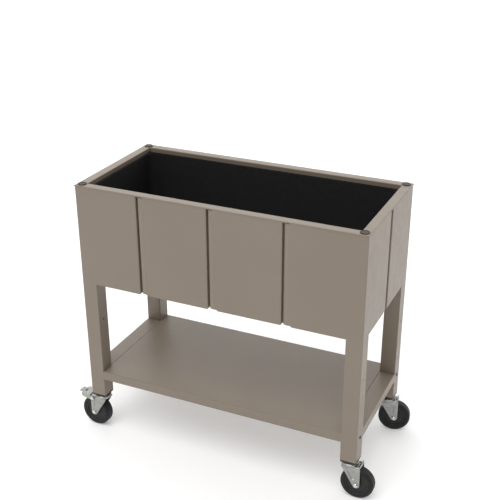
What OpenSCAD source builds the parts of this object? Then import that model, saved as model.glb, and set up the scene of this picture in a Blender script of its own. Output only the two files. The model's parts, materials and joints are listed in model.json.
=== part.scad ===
// Rolling planter: a sheet-steel trough on four leg posts, with a shelf and braked swivel casters.
// Millimetres. The origin is on the floor under the middle of the trough, X runs along the
// trough, -Y is its front and +Z is up.

/* [Body] */
// Length over the walls
body_l = 900; // [760:10:1200]
// Depth over the walls
body_d = 420; // [360:10:600]
// Height of the rim's top above the floor
rim_z = 850; // [760:5:1000]
// Height of the trough's lower edge above the floor
box_z = 532; // [450:1:600]
// Thickness of the sheet steel
sheet_t = 1.2; // [0.8:0.1:2]
// Inside radius of every bend
bend_r = 1.5; // [1:0.1:2.5]
// Width of the walls' folded lower edge
bottom_flange = 15; // [10:1:25]

/* [Seams] */
// Front seams, from the middle of the front wall
front_seams = [-242, -17, 212]; // [-300:1:300]
// Side seam on the right wall, from its middle
side_seam = 4; // [-40:1:40]
// Width of the open grooves in the front and back
seam_gap = 6; // [3:0.5:10]
// Width of the open grooves in the ends
side_gap = 9; // [4:0.5:12]
// Depth of the groove behind the wall's face
seam_depth = 12; // [9:0.5:16]
// Length of the flanges that lap behind the groove
seam_lap = 14; // [12:1:20]
// Width of the sloping margin on one side of the groove
margin_w = 11; // [9:0.5:16]
// How far the margin steps back from the face
margin_step = 2; // [1:0.1:3]
// Width of the relief at the foot of the margin
notch_w = 25; // [16:1:40]
// Height of that relief
notch_h = 4.5; // [3:0.5:8]
// Width of the smaller relief under the rim
tick_w = 14; // [10:1:25]
// Radius of a seam screw's shank
seam_screw_r = 2; // [1.5:0.1:2.5]

/* [Legs] */
// Width of a leg along X
leg_w = 49; // [40:1:70]
// Width of a leg along Y
leg_d = 50; // [40:1:70]
// Height of the legs' lower end above the floor
leg_z = 131; // [130:1:150]
// Wall of the square leg post
post_t = 1.5; // [1:0.1:2.5]
// Height of the upper bolt holes above the floor
upper_hole_z = 402; // [300:1:430]
// Radius of the bolt holes through a leg
leg_hole_r = 3.5; // [3.3:0.1:4]

/* [Rim] */
// Width of the flat rim
rim_w = 29; // [28:1:40]
// Height of the rim's outer lip
rim_lip = 3.5; // [3:0.1:6]
// Height of the rim's inner lip
rim_drop = 14; // [10:1:25]
// Radius of the plug on each corner
plug_r = 13.5; // [11:0.5:14]
// Radius of the plug's stem
plug_stem_r = 5.9; // [4:0.1:7]
// Inset of the plugs from the walls' faces
plug_inset = 17; // [15:0.5:18]

/* [Shelf] */
// Height of the shelf's top above the floor
shelf_z = 222; // [210:1:300]
// Height of the shelf's folded edge
shelf_lip = 29; // [24:1:40]
// Inside radius of the tight folds where the deck meets its end rails
shelf_fold_r = 0.3; // [0.2:0.1:1.5]
// Radius of the shelf bolts
shelf_bolt_r = 3; // [2.5:0.1:3.2]
// Radius of the bolts that join the shelf's end rails to its deck
rail_bolt_r = 2.5; // [2:0.1:3]

/* [Floor and liner] */
// Height of the cross rails under the floor pan
rail_h = 28.8; // [20:0.1:40]
// Distances of the cross rails from the middle
rail_at = [-330, -120, 120, 330]; // [-380:1:380]
// Height of the floor pan's folded edge
pan_edge = 6; // [4:0.5:15]
// Wall of the plastic liner
liner_t = 2.5; // [1.5:0.1:4]
// Corner radius of the liner
liner_r = 25; // [10:1:60]
// Gap between the liner and the rim's inner lip
liner_gap = 1.2; // [0.6:0.1:4]
// Radius of a drain hole
drain_r = 2; // [1.5:0.25:4]

/* [Casters] */
// Wheel diameter
wheel_d = 102; // [90:1:104]
// Width of the tread
tread_w = 32; // [24:1:34]
// Offset of the axle behind the swivel axis
trail = 26; // [20:1:32]
// Height of the fork's crown above the floor
crown_z = 112; // [110:0.5:114]
// Thickness of the fork's steel
fork_t = 2.5; // [2:0.1:3]
// Gap between the fork's two sides
fork_gap = 36; // [35:0.5:40]
// Radius of the ball race's cover
race_r = 26.4; // [24:0.1:30]
// Radius of a bearing ball
ball_r = 2.35; // [1.5:0.05:2.4]
// Balls in a race
ball_count = 12; // [8:1:18]
// Radius of the threaded stem
stem_r = 6; // [5:0.5:8]
// Length of the stem above its hexagon
stem_l = 38; // [30:1:60]
// Radius of the axle bolt
axle_r = 4; // [3:0.5:5]
// Which way each caster trails: front left, front right, back right, back left
caster_turn = [177, 0, 12, 178]; // [-180:1:180]
// Slope of a pressed brake pedal
pedal_down = 2; // [0:0.5:8]
// Length of the brake pedal from its pivot
pedal_l = 59; // [54:1:66]
// Radius of the rivets that the pedal turns on
rivet_r = 3; // [2:0.1:3.4]

/* [Hidden] */

TAUPE = [0.60, 0.56, 0.51];
DARK = [0.28, 0.25, 0.22];
BLACK = [0.10, 0.10, 0.10];
RUBBER = [0.16, 0.16, 0.17];
ZINC = [0.72, 0.72, 0.70];
GALVANISED = [0.60, 0.62, 0.63];

fit = 0.3;                              // gap between loosely fitted pieces
slip = 0.1;                             // gap round a fixed pin or screw
running = 0.06;                         // gap round a turning pin
over = 1;                               // how far a cut runs past what it cuts

fx = body_l / 2;                        // the walls' outer faces
fy = body_d / 2;
mid = sheet_t / 2;                      // the sheet's middle line, behind its face
mid_r = bend_r + mid;                   // bend radius of that line
outer_r = bend_r + sheet_t;             // bend radius of the face
wall_top = rim_z - sheet_t;             // top of the walls, against the rim's underside
top_flange = rim_w - 2 * sheet_t - bend_r - slip;  // the walls' upper edge, up to the rim's bend
half_gap = seam_gap / 2;
half_side = side_gap / 2;
screw_inset = 8;                        // a seam screw from the edge of its groove
screw_margin = 40;                      // the outer seam screws from the walls' ends
floor_z = box_z + sheet_t + rail_h;     // the floor pan's underside and the posts' tops
inside_x = fx - leg_w;                  // the legs' inner faces
inside_y = fy - leg_d;
leg_x = fx - leg_w / 2;                 // middle of a leg, on the caster's swivel axis
leg_y = fy - leg_d / 2;
shelf_hole_z = shelf_z - shelf_lip / 2; // the shelf bolts' height

wheel_r = wheel_d / 2;
hub_r = wheel_r - 15;                   // the tyre's bore
cap_flange = 6.5;                       // thickness of the leg end cap's flange
cap_z = leg_z - cap_flange;
hex_af = 3.2 * stem_r;                  // across the flats of the stem's hexagon and nut
hex_h = 3.5;
hex_z = cap_z - hex_h;                  // underside of the hexagon, on the race's cover
kingpin_r = stem_r - 0.05;
pin_head_h = 3.7;                       // the kingpin's riveted head, under the fork
ball_ring_r = race_r - 6.4;
axle_af = 3.25 * axle_r;                // across the flats of the axle bolt's head and nut
axle_head_h = 5.5;
axle_nut_h = 6.5;
sleeve_r = axle_r + 2;
eye_r = 11;                             // the fork's round lower end
fork_rear = trail + eye_r;
braked = [true, false, false, true];    // front left, front right, back right, back left
pivot = [fork_rear - 7, crown_z - 8];   // the brake pedal's pivot, at the fork's upper rear corner
rivet_head_h = 2;
ear_t = 2;                              // the brake pedal's steel
ear_r = 8;                              // round ends of the pedal's sides, about the pivot
ear_gap = 0.5;                          // between the fork and the pedal's sides
fork_out = fork_gap / 2 + fork_t;       // outer face of the fork's sides
ear_in = fork_out + ear_gap;
ear_out = ear_in + ear_t;
tick_h = 2.7;                           // height of the small relief under the rim
seam_head_h = 2.2;                      // a seam screw's head
bracket_t = 2.5;                        // the rim bracket's plate and the length of its arms
bracket_l = 60;
plug_head_h = 2.6;                      // the plug's head, its round edge, dish and barb
plug_edge_r = 1.6;
plug_dish_r = plug_r - 4.5;
plug_dish = 0.7;
plug_barb = 0.8;
plug_barb_h = 6;
mitre_gap = 0.1;                        // half the hairline between two rim rails
cap_plug_h = 15;                        // how far the end cap reaches into its post
nut_plate_t = 3;                        // plate across the post and the nut on it
nut_plate_z = leg_z + cap_plug_h + over;
stem_nut_h = 10;
post_w = leg_w - sheet_t;               // the square post, inside the corner sheet
post_d = leg_d - sheet_t;
post_in_r = max(0.5, outer_r - post_t);
liner_drop = 1.5;                       // the liner's flange below the rim's inner lip
liner_flange = 8;
drain_dx = 225;                         // spacing of the drain holes
drain_dy = 90;
pan_gap = 3;                            // round the floor pan, to the seam screws' heads
rail_top = 10;                          // half widths of a cross rail's top and of its feet
rail_foot = 22;
rail_bolt_at = [-110, 0, 110];          // bolts along each shelf rail
wall_cut = 9;                           // a hole's reach to each side of the shelf's folded edge
stiffener_h = 18;                       // height, and half widths of the web and of the feet
stiffener_web = 24;
stiffener_foot = 42;
stiffener_inset = 8;                    // from the deck's ends, clear of the bolts' nuts
race_h = 2 * ball_r + 0.3;              // height of the ball race, with its play
pedal_top = 7;                          // the pedal's tread and its sides' lower edge, from its pivot
pedal_low = -4.5;
pedal_side_l = 43;                      // length of its sides, from the pivot
pedal_toe = 12.5;                       // half the width of its narrower end
pedal_lip = 5;                          // depth of its turned-down end
pedal_slot = [36.5, 5, 14];             // the slot through it: place, length and width
pedal_play = 0.35;                      // between the pressed pedal's tongue and the tyre

// ---- Outlines ----

function unit(v) = v / norm(v);
function left_of(v) = [-v.y, v.x];
function turn_2d(v, a) = [v.x * cos(a) - v.y * sin(a), v.x * sin(a) + v.y * cos(a)];
function reversed(list) = [for (i = [len(list) - 1:-1:0]) list[i]];

// Points of an arc round c, from angle a0 to a1
function arc(c, r, a0, a1, steps = 5) =
    [for (i = [0:steps]) let (a = a0 + (a1 - a0) * i / steps) c + r * [cos(a), sin(a)]];

// The round corner of a bent strip at point p, between directions a and b, s to the left of its line
function bend(p, a, b, s, r) =
    let (way = cross(a, b) > 0 ? 1 : -1,
         angle = acos(max(-1, min(1, a * b))),
         steps = max(1, ceil(angle / 18)),
         centre = p - a * r * tan(angle / 2) + way * r * left_of(a))
    [for (k = [0:steps])
        centre - way * (r - way * s) * left_of(turn_2d(a, way * angle * k / steps))];

// One face of a bent strip: its path moved s to the left, with round bends
function strip_side(path, s, r) = [
    path[0] + s * left_of(unit(path[1] - path[0])),
    for (i = [1:len(path) - 2])
        each bend(path[i], unit(path[i] - path[i - 1]), unit(path[i + 1] - path[i]), s, r),
    path[len(path) - 1] + s * left_of(unit(path[len(path) - 1] - path[len(path) - 2]))
];

// Section of a sheet bent along a path, which is the line through the middle of its thickness
function strip(path, t = sheet_t, r = mid_r) =
    concat(strip_side(path, t / 2, r), reversed(strip_side(path, -t / 2, r)));

// Rectangle with round corners, centred
function rounded(w, d, r) = [
    for (q = [0:3])
        each arc([(q == 0 || q == 3 ? 1 : -1) * (w / 2 - r), (q < 2 ? 1 : -1) * (d / 2 - r)],
                 r, 90 * q, 90 * q + 90)
];

// Section of a block that stands on the X axis, with its two upper corners round
function crowned(w, h, r) = concat(
    [[-w / 2, 0], [w / 2, 0]],
    arc([w / 2 - r, h - r], r, 0, 90),
    arc([-w / 2 + r, h - r], r, 90, 180)
);

// How far along the unit vector a from p the circle round c is first met
function meets_circle(p, a, c, r) =
    let (d = p - c) -d * a - sqrt(pow(d * a, 2) - d * d + r * r);

// ---- Shared forms ----

// An outline in the YZ plane, drawn out along X from x0 to x1
module along_x(x0, x1) {
    translate([x0, 0, 0]) rotate([90, 0, 90]) linear_extrude(x1 - x0) children();
}

// An outline in the XZ plane, drawn out along Y from y0 to y1
module along_y(y0, y1) {
    translate([0, y1, 0]) rotate([90, 0, 0]) linear_extrude(y1 - y0) children();
}

module rod_x(x0, x1, r, fn = 48) {
    translate([x0, 0, 0]) rotate([0, 90, 0]) cylinder(h = x1 - x0, r = r, $fn = fn);
}

module rod_y(y0, y1, r, fn = 48) {
    translate([0, y1, 0]) rotate([90, 0, 0]) cylinder(h = y1 - y0, r = r, $fn = fn);
}

// A hexagon's circle, from its size across the flats
function hex_r(af) = af / 2 / cos(30);

// Block with its top edges rounded over, by rx at its two ends and by ry at its two sides
module crowned_block(lx, ly, h, rx, ry) {
    intersection() {
        along_y(-ly / 2, ly / 2) polygon(crowned(lx, h, rx));
        along_x(-lx / 2, lx / 2) polygon(crowned(ly, h, ry));
    }
}

// Upside-down pan of folded sheet: a top and four edges; r is the inside radius at its two ends
module folded_pan(lx, ly, h, r = bend_r) {
    difference() {
        crowned_block(lx, ly, h, r + sheet_t, outer_r);
        translate([0, 0, -over])
            crowned_block(lx - 2 * sheet_t, ly - 2 * sheet_t, h - sheet_t + over, r, bend_r);
    }
}

// ---- Walls ----

// Each groove has its own frame: u runs along the wall from the middle of the groove, with the
// proud edge at negative u and the stepped margin at positive u, and v runs inwards from the face.
// half is half the groove's width.
function proud_edge(half) = [
    [-half - mid, mid],
    [-half - mid, seam_depth - mid],
    [-half - seam_lap, seam_depth - mid]
];
function margin_edge(half) = [
    [-half - seam_lap, seam_depth + mid],
    [half + mid, seam_depth + mid],
    [half + mid, margin_step + mid],
    [half + mid + 1.5 * mid_r, margin_step + mid],
    [half + margin_w, mid]
];

function on_front(edge, x) = [for (p = edge) [x + p.x, p.y - fy]];
function on_right(edge) = [for (p = edge) [fx - p.y, side_seam - p.x]];
function on_left(edge) = [for (p = edge) [p.y - fx, p.x - side_seam]];

module at_front_seam(x) {
    translate([x, -fy, 0]) children();
}

module at_right_seam() {
    translate([fx, side_seam, 0]) rotate([0, 0, 90]) mirror([1, 0, 0]) children();
}

// What is drawn for the front wall, on the right wall: its X becomes Y
module on_right_wall() {
    translate([fx - fy, 0, 0]) rotate([0, 0, 90]) children();
}

// The same on the opposite side of the planter, turned about its middle
module half_turn() {
    rotate([0, 0, 180]) children();
}

// The folded lower edge of the front wall, from x0 to x1
module lower_edge(x0, x1) {
    along_x(x0, x1) polygon(strip([
        [-fy + mid, box_z + 3 * outer_r],
        [-fy + mid, box_z + mid],
        [-fy + bottom_flange, box_z + mid]
    ]));
}

// The folded upper edge of the front wall, from x0 to x1
module upper_edge(x0, x1) {
    along_x(x0, x1) polygon(strip([
        [-fy + mid, wall_top - 3 * outer_r],
        [-fy + mid, wall_top - mid],
        [-fy + top_flange, wall_top - mid]
    ]));
}

// The upright sheet between the folded edges, bent along a path in plan
module wall_sheet(path) {
    translate([0, 0, box_z + outer_r])
        linear_extrude(wall_top - box_z - 2 * outer_r) polygon(strip(path));
}

// The two reliefs in a groove's margin, at the foot of the wall and under the rim
module margin_notches(half) {
    depth = seam_depth - 2 * sheet_t;
    along_y(-over, depth) {
        translate([half - over, box_z - over])
            square([notch_w - notch_h + over, notch_h + over]);
        translate([half + notch_w - notch_h, box_z]) circle(r = notch_h, $fn = 32);
    }
    along_y(-over, depth)
        translate([half - over, rim_z - rim_lip - tick_h])
            square([tick_w + over, tick_h]);
}

// Places something at each screw of a groove, on the inner face of the outer lap
module at_seam_screws(half) {
    for (z = [box_z + screw_margin, (box_z + wall_top) / 2, wall_top - screw_margin])
        translate([-half - screw_inset, seam_depth, z]) children();
}

module seam_screw_holes(half) {
    at_seam_screws(half) rod_y(-2 * sheet_t, 2 * sheet_t, seam_screw_r + slip, 24);
}

// The folded part of a corner sheet that wraps the leg below the wall; side is -1 left, 1 right
module leg_wrap(side) {
    translate([0, 0, leg_z])
        linear_extrude(box_z + 3 * outer_r - leg_z)
            polygon(strip([
                [side * (fx - mid), -inside_y],
                [side * (fx - mid), -fy + mid],
                [side * inside_x, -fy + mid]
            ]));
}

// The two bolt holes through a front leg
module leg_holes(side) {
    for (z = [shelf_hole_z, upper_hole_z])
        translate([side * leg_x, -leg_y, z]) rod_x(-leg_w, leg_w, leg_hole_r);
}

module plug_hole(side) {
    translate([side * (fx - plug_inset), -(fy - plug_inset), wall_top - 4 * bracket_t])
        cylinder(h = 8 * bracket_t, r = plug_stem_r + slip, $fn = 48);
}

// Front left corner sheet: half the left wall, the first bay of the front and the leg between
module corner_proud() {
    x = front_seams[0];
    color(TAUPE) difference() {
        union() {
            wall_sheet(concat(
                reversed(on_left(proud_edge(half_side))),
                [[-fx + mid, -fy + mid]],
                on_front(proud_edge(half_gap), x)
            ));
            lower_edge(-inside_x, x - half_gap - outer_r);
            upper_edge(-fx + outer_r, x - half_gap - outer_r);
            half_turn() on_right_wall() {
                lower_edge(side_seam + half_side + outer_r, inside_y);
                upper_edge(side_seam + half_side + outer_r, fy - top_flange - fit);
            }
            leg_wrap(-1);
        }
        at_front_seam(x) seam_screw_holes(half_gap);
        half_turn() at_right_seam() seam_screw_holes(half_side);
        leg_holes(-1);
        plug_hole(-1);
    }
}

// Front right corner sheet: its two grooves have the stepped margin on this sheet
module corner_margin() {
    x = front_seams[2];
    color(TAUPE) difference() {
        union() {
            wall_sheet(concat(
                on_front(margin_edge(half_gap), x),
                [[fx - mid, -fy + mid]],
                reversed(on_right(margin_edge(half_side)))
            ));
            lower_edge(x + half_gap + margin_w, inside_x);
            upper_edge(x + half_gap + margin_w, fx - outer_r);
            on_right_wall() {
                lower_edge(-inside_y, side_seam - half_side - margin_w);
                upper_edge(-fy + top_flange + fit, side_seam - half_side - margin_w);
            }
            leg_wrap(1);
        }
        at_front_seam(x) {
            seam_screw_holes(half_gap);
            margin_notches(half_gap);
        }
        at_right_seam() {
            seam_screw_holes(half_side);
            margin_notches(half_side);
        }
        leg_holes(1);
        plug_hole(1);
    }
}

// A middle panel of the front, between two grooves
module wall_panel(x0, x1) {
    color(TAUPE) difference() {
        union() {
            wall_sheet(concat(
                on_front(margin_edge(half_gap), x0),
                on_front(proud_edge(half_gap), x1)
            ));
            lower_edge(x0 + half_gap + margin_w, x1 - half_gap - outer_r);
            upper_edge(x0 + half_gap + margin_w, x1 - half_gap - outer_r);
        }
        at_front_seam(x0) {
            seam_screw_holes(half_gap);
            margin_notches(half_gap);
        }
        at_front_seam(x1) seam_screw_holes(half_gap);
    }
}

module corner_front_left() {
    corner_proud();
}

module corner_front_right() {
    corner_margin();
}

module corner_back_right() {
    half_turn() corner_proud();
}

module corner_back_left() {
    half_turn() corner_margin();
}

module panel_front_left() {
    wall_panel(front_seams[0], front_seams[1]);
}

module panel_front_right() {
    wall_panel(front_seams[1], front_seams[2]);
}

module panel_back_right() {
    half_turn() panel_front_left();
}

module panel_back_left() {
    half_turn() panel_front_right();
}

// A pan-head screw that holds two laps together, driven from inside the trough
module seam_screw() {
    rod_y(-seam_depth / 2, sheet_t + slip, seam_screw_r, 24);
    rod_y(sheet_t, sheet_t + seam_head_h, 1.8 * seam_screw_r, 24);
}

module seam_screws() {
    color(ZINC) for (turn = [0, 180]) rotate([0, 0, turn]) {
        for (x = front_seams) at_front_seam(x) at_seam_screws(half_gap) seam_screw();
        at_right_seam() at_seam_screws(half_side) seam_screw();
    }
}

// ---- Legs ----

corners = [[-1, -1], [1, -1], [1, 1], [-1, 1]];  // front left, front right, back right, back left

// Places something on the axis of the post at a corner
module at_post(i) {
    translate([corners[i].x * (inside_x + post_w / 2), corners[i].y * (inside_y + post_d / 2), 0])
        children();
}

// Square tube inside the corner sheet, from the leg's lower end up to the floor pan
module leg_post(i) {
    color(TAUPE) difference() {
        translate([0, 0, leg_z]) at_post(i) linear_extrude(floor_z - leg_z) difference() {
            polygon(rounded(post_w, post_d, outer_r));
            polygon(rounded(post_w - 2 * post_t, post_d - 2 * post_t, post_in_r));
        }
        for (z = [shelf_hole_z, upper_hole_z])
            translate([corners[i].x * leg_x, corners[i].y * leg_y, z])
                rod_x(-leg_w, leg_w, leg_hole_r);
    }
}

module post_front_left() {
    leg_post(0);
}

module post_front_right() {
    leg_post(1);
}

module post_back_right() {
    leg_post(2);
}

module post_back_left() {
    leg_post(3);
}

// Block that fills a post, less a sliding gap
module post_filler(i, h) {
    at_post(i) linear_extrude(h)
        polygon(rounded(post_w - 2 * post_t - fit, post_d - 2 * post_t - fit, post_in_r));
}

module leg_end_caps() {
    color(DARK) for (i = [0:3]) difference() {
        union() {
            translate([corners[i].x * leg_x, corners[i].y * leg_y, cap_z])
                linear_extrude(cap_flange) polygon(rounded(leg_w - fit, leg_d - fit, outer_r));
            translate([0, 0, leg_z]) post_filler(i, cap_plug_h);
        }
        translate([corners[i].x * leg_x, corners[i].y * leg_y, cap_z - over])
            cylinder(h = cap_flange + cap_plug_h + 2 * over, r = stem_r + fit, $fn = 48);
    }
}

// A plate across each post with a nut on it, which takes the caster's stem
module stem_nuts() {
    color(ZINC) for (i = [0:3]) difference() {
        union() {
            translate([0, 0, nut_plate_z]) post_filler(i, nut_plate_t);
            translate([corners[i].x * leg_x, corners[i].y * leg_y, nut_plate_z])
                cylinder(h = nut_plate_t + stem_nut_h, r = hex_r(hex_af), $fn = 6);
        }
        translate([corners[i].x * leg_x, corners[i].y * leg_y, nut_plate_z - over])
            cylinder(h = nut_plate_t + stem_nut_h + 2 * over, r = stem_r + slip, $fn = 48);
    }
}

// ---- Rim ----

// Keeps what lies between the mitres of a rail along X of the rim's front side
module mitred(half_l) {
    deep = rim_w + 2 * over;
    intersection() {
        children();
        translate([0, 0, rim_z - rim_drop - over])
            linear_extrude(rim_drop + 2 * over)
                polygon([
                    [-half_l + mitre_gap, 0], [half_l - mitre_gap, 0],
                    [half_l - mitre_gap - deep, deep], [-half_l + mitre_gap + deep, deep]
                ]);
    }
}

// A rail of the rim, half_l to each side of the middle, with its outer face at y = 0
module rim_rail(half_l) {
    mitred(half_l) along_x(-half_l, half_l) polygon(strip([
        [mid, rim_z - rim_lip],
        [mid, rim_z - mid],
        [rim_w - mid, rim_z - mid],
        [rim_w - mid, rim_z - rim_drop]
    ]));
}

module rim_holes() {
    for (c = corners)
        translate([c.x * (fx - plug_inset), c.y * (fy - plug_inset), wall_top - over])
            cylinder(h = sheet_t + 2 * over, r = plug_stem_r + slip, $fn = 48);
}

module rim_front() {
    color(TAUPE) difference() {
        translate([0, -fy - sheet_t, 0]) rim_rail(fx + sheet_t);
        rim_holes();
    }
}

module rim_back() {
    half_turn() rim_front();
}

module rim_right() {
    color(TAUPE) difference() {
        translate([fx + sheet_t, 0, 0]) rotate([0, 0, 90]) rim_rail(fy + sheet_t);
        rim_holes();
    }
}

module rim_left() {
    half_turn() rim_right();
}

// Angle plates under the rim's corners, which the plugs clamp to the walls' folded edges
module rim_brackets() {
    inset = outer_r + fit;
    arm_w = top_flange - inset - over;
    color(GALVANISED) for (c = corners) scale([c.x, c.y, 1]) difference() {
        translate([fx - inset, fy - inset, wall_top - sheet_t - bracket_t])
            linear_extrude(bracket_t) polygon([
                [0, 0], [-bracket_l, 0], [-bracket_l, -arm_w], [-arm_w, -arm_w],
                [-arm_w, -bracket_l], [0, -bracket_l]
            ]);
        translate([fx - plug_inset, fy - plug_inset, wall_top - 4 * bracket_t])
            cylinder(h = 6 * bracket_t, r = plug_stem_r + slip, $fn = 48);
    }
}

// A plug with a dished head and a split stem, whose barb snaps under the bracket
module corner_plug() {
    under = wall_top - sheet_t - bracket_t - slip - rim_z;  // the bracket's underside
    difference() {
        rotate_extrude($fn = 64) polygon(concat(
            [[0, under - plug_barb_h], [plug_stem_r - 2 * plug_barb, under - plug_barb_h],
             [plug_stem_r + plug_barb, under - 1], [plug_stem_r + plug_barb, under],
             [plug_stem_r, under], [plug_stem_r, 0], [plug_r, 0]],
            arc([plug_r - plug_edge_r, plug_head_h - plug_edge_r], plug_edge_r, 0, 90),
            [[plug_dish_r + 0.5, plug_head_h], [plug_dish_r, plug_head_h - plug_dish],
             [0, plug_head_h - plug_dish]]
        ));
        translate([-plug_r, -plug_barb, under - plug_barb_h - over])
            cube([2 * plug_r, 2 * plug_barb, plug_barb_h + over - 0.5]);
    }
}

module corner_plugs() {
    color(DARK) for (c = corners)
        translate([c.x * (fx - plug_inset), c.y * (fy - plug_inset), rim_z]) corner_plug();
}

// ---- Floor and liner ----

// Hat-section rails across the trough, resting on the walls' lower edges
module floor_rails() {
    half_l = fy - sheet_t - bend_r - fit;
    foot = box_z + sheet_t + mid;
    color(GALVANISED) for (x = rail_at) translate([x, 0, 0])
        along_y(-half_l, half_l) polygon(strip([
            [-rail_foot, foot], [-rail_top, foot], [-rail_top, floor_z - mid],
            [rail_top, floor_z - mid], [rail_top, foot], [rail_foot, foot]
        ]));
}

module at_drains() {
    for (x = [-1, 0, 1] * drain_dx) for (y = [-1, 1] * drain_dy)
        translate([x, y, 0]) children();
}

// Steel tray on the cross rails and the posts
module floor_pan() {
    lx = 2 * (fx - seam_depth - sheet_t - seam_head_h - pan_gap);
    ly = 2 * (fy - seam_depth - sheet_t - seam_head_h - pan_gap);
    color(GALVANISED) difference() {
        translate([0, 0, floor_z + pan_edge]) mirror([0, 0, 1]) folded_pan(lx, ly, pan_edge);
        translate([0, 0, floor_z - over]) at_drains()
            cylinder(h = sheet_t + 2 * over, r = drain_r + 2, $fn = 48);
    }
}

// Drop-in plastic tub with drain holes; its flange lies under the rim's inner lip
module liner_tub() {
    lx = 2 * (fx + sheet_t - rim_w - liner_gap);
    ly = 2 * (fy + sheet_t - rim_w - liner_gap);
    z0 = floor_z + sheet_t;
    z1 = rim_z - rim_drop - liner_drop;
    color(BLACK) difference() {
        union() {
            translate([0, 0, z0]) linear_extrude(z1 - z0) polygon(rounded(lx, ly, liner_r));
            translate([0, 0, z1 - liner_t]) linear_extrude(liner_t)
                polygon(rounded(lx + 2 * liner_flange, ly + 2 * liner_flange,
                                liner_r + liner_flange));
        }
        translate([0, 0, z0 + liner_t]) linear_extrude(z1 - z0)
            polygon(rounded(lx - 2 * liner_t, ly - 2 * liner_t, liner_r - liner_t));
        translate([0, 0, z0 - over]) at_drains()
            cylinder(h = liner_t + 2 * over, r = drain_r, $fn = 48);
    }
}

// ---- Shelf ----

deck_end = inside_x - fit;              // the deck's ends, inside the legs

module shelf_deck() {
    color(TAUPE) difference() {
        translate([0, 0, shelf_z - shelf_lip])
            folded_pan(2 * deck_end, body_d, shelf_lip, shelf_fold_r);
        for (side = [-1, 1]) {
            for (y = [-leg_y, leg_y])
                translate([side * deck_end, y, shelf_hole_z])
                    rod_x(-wall_cut, wall_cut, shelf_bolt_r + slip);
            for (y = rail_bolt_at)
                translate([side * deck_end, y, shelf_hole_z])
                    rod_x(-wall_cut, wall_cut, rail_bolt_r + slip);
        }
    }
}

// Folded rail that fills the shelf's end between two legs
module shelf_rail(side) {
    color(TAUPE) difference() {
        translate([side * leg_x, 0, shelf_z - shelf_lip])
            folded_pan(leg_w, 2 * (inside_y - fit), shelf_lip, shelf_fold_r);
        for (y = rail_bolt_at)
            translate([side * inside_x, y, shelf_hole_z])
                rod_x(-wall_cut, wall_cut, rail_bolt_r + slip);
    }
}

module shelf_rail_left() {
    shelf_rail(-1);
}

module shelf_rail_right() {
    shelf_rail(1);
}

// Hat-section stiffener under the deck
module shelf_stiffener() {
    top = shelf_z - sheet_t - mid;
    half_l = deck_end - stiffener_inset;
    color(TAUPE) along_x(-half_l, half_l) polygon(strip([
        [-stiffener_foot, top], [-stiffener_web, top], [-stiffener_web, top - stiffener_h],
        [stiffener_web, top - stiffener_h], [stiffener_web, top], [stiffener_foot, top]
    ]));
}

// A bolt along X: its head's underside is at x = 0, it grips grip, and its nut is beyond that
module bolt_x(r, grip, head_r, head_h) {
    nut_h = 1.6 * r;
    rod_x(-head_h, 0, head_r);
    rod_x(0, grip + nut_h + 0.5 * r, r);
    difference() {
        translate([grip, 0, 0]) rotate([0, 90, 0])
            cylinder(h = nut_h, r = hex_r(3.3 * r), $fn = 6);
        rod_x(grip - over, grip + nut_h + over, r + slip / 2);
    }
}

// Each runs through a leg into the deck's folded end
module shelf_bolts() {
    grip = fx - deck_end + sheet_t;
    color(DARK) for (c = corners)
        translate([c.x * fx, c.y * leg_y, shelf_hole_z]) rotate([0, 0, c.x > 0 ? 180 : 0])
            bolt_x(shelf_bolt_r, grip, 1.5 * shelf_bolt_r, 2.2);
}

module shelf_rail_bolts() {
    grip = fit + 2 * sheet_t;
    color(ZINC) for (side = [-1, 1]) for (y = rail_bolt_at)
        translate([side * (deck_end - sheet_t), y, shelf_hole_z])
            rotate([0, 0, side > 0 ? 0 : 180])
                bolt_x(rail_bolt_r, grip, 1.8 * rail_bolt_r, 2.6);
}

// ---- Casters ----

// A caster's own frame: Z is its swivel axis, X points where it trails and Y along its axle
module at_caster(i) {
    translate([corners[i].x * leg_x, corners[i].y * leg_y, 0])
        rotate([0, 0, caster_turn[i]]) children();
}

// Threaded stem, hexagon, ball race cover and the kingpin that carries the fork
module caster_stem(i) {
    head_z = crown_z - fork_t - fit;    // top of the kingpin's head
    head_r = kingpin_r + 2.5;
    cover_z = crown_z + race_h;         // underside of the cover, on the balls
    skirt_z = crown_z + 0.7;
    skirt_r = race_r - 1.6;
    color(ZINC) at_caster(i) {
        rotate_extrude($fn = 96) polygon([
            [0, head_z - pin_head_h], [head_r - 1, head_z - pin_head_h],
            [head_r, head_z - pin_head_h + 1], [head_r, head_z], [kingpin_r, head_z],
            [kingpin_r, cover_z], [skirt_r, cover_z], [skirt_r, skirt_z],
            [race_r, skirt_z], [race_r, hex_z - 2], [race_r - 2.2, hex_z], [0, hex_z]
        ]);
        translate([0, 0, hex_z - slip]) cylinder(h = hex_h + slip, r = hex_r(hex_af), $fn = 6);
        translate([0, 0, cap_z - slip]) cylinder(h = stem_l, r = stem_r, $fn = 64);
    }
}

module swivel_balls() {
    color(ZINC) for (i = [0:3]) at_caster(i) for (k = [0:ball_count - 1])
        rotate([0, 0, 360 * k / ball_count])
            translate([ball_ring_r, 0, crown_z + race_h / 2]) sphere(r = ball_r, $fn = 24);
}

// Side view of the fork: a sloping front edge runs tangent into the round eye at the axle
module fork_side() {
    front = 21;                         // the fork's reach ahead of the swivel axis
    from = [7 - front, crown_z - 16];
    eye = [trail, wheel_r];
    slope = atan2(eye.y - from.y, eye.x - from.x) - asin(eye_r / norm(eye - from));
    polygon(concat(
        [[-front, crown_z], [-front, crown_z - 5], from],
        arc(eye, eye_r, slope - 90, 0, 12),
        [[fork_rear, crown_z]]
    ));
}

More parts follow.
